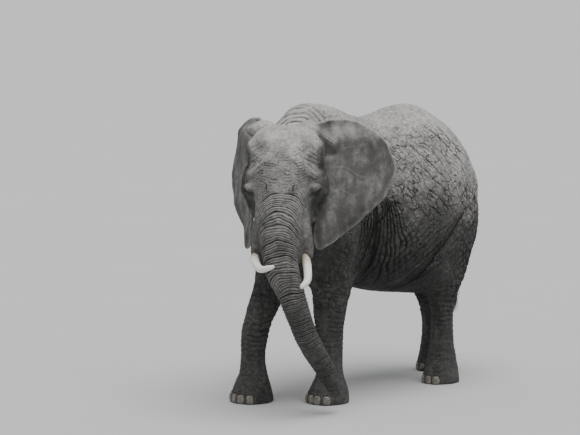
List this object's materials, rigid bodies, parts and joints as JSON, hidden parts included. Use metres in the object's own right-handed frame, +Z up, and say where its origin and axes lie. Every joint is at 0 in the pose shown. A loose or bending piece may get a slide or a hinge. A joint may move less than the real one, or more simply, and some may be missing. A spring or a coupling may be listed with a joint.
{
  "type": "african elephant",
  "caption": "Adult African elephant standing in mid-stride, head turned to its left, ears out, trunk reaching down towards the ground.",
  "frame": {"origin": "on the floor, under the middle of the bounding box", "axes": "+Z up, -Y towards the head end, +X towards the animal's left side"},
  "size_m": [1.5184, 3.4394, 2.7105],
  "materials": {
    "skin": "matte",
    "ivory": "satin",
    "nail": "matte",
    "hair": "matte",
    "eye": "gloss"
  },
  "bodies": {
    "root": {"foreleg_left_upper": "skin", "foreleg_left_lower": "skin", "foreleg_left_foot": "skin", "foreleg_left_nail_1": "nail", "foreleg_left_nail_2": "nail", "foreleg_left_nail_3": "nail", "foreleg_left_nail_4": "nail", "foreleg_right_upper": "skin", "foreleg_right_lower": "skin", "foreleg_right_foot": "skin", "foreleg_right_nail_1": "nail", "foreleg_right_nail_2": "nail", "foreleg_right_nail_3": "nail", "foreleg_right_nail_4": "nail", "hindleg_left_upper": "skin", "hindleg_left_lower": "skin", "hindleg_left_foot": "skin", "hindleg_left_nail_1": "nail", "hindleg_left_nail_2": "nail", "hindleg_left_nail_3": "nail", "hindleg_right_upper": "skin", "hindleg_right_lower": "skin", "hindleg_right_foot": "skin", "hindleg_right_nail_1": "nail", "hindleg_right_nail_2": "nail", "hindleg_right_nail_3": "nail", "chest": "skin", "barrel": "skin", "rump": "skin", "tail": "skin", "tail_tuft": "hair", "neck": "skin", "head": "skin", "lower_jaw": "skin", "eye_left": "eye", "eye_right": "eye", "tusk_left": "ivory", "tusk_right": "ivory", "ear_left": "skin", "ear_right": "skin", "trunk_upper": "skin", "trunk_middle": "skin", "trunk_lower": "skin", "trunk_tip": "skin"}
  },
  "joints": []
}
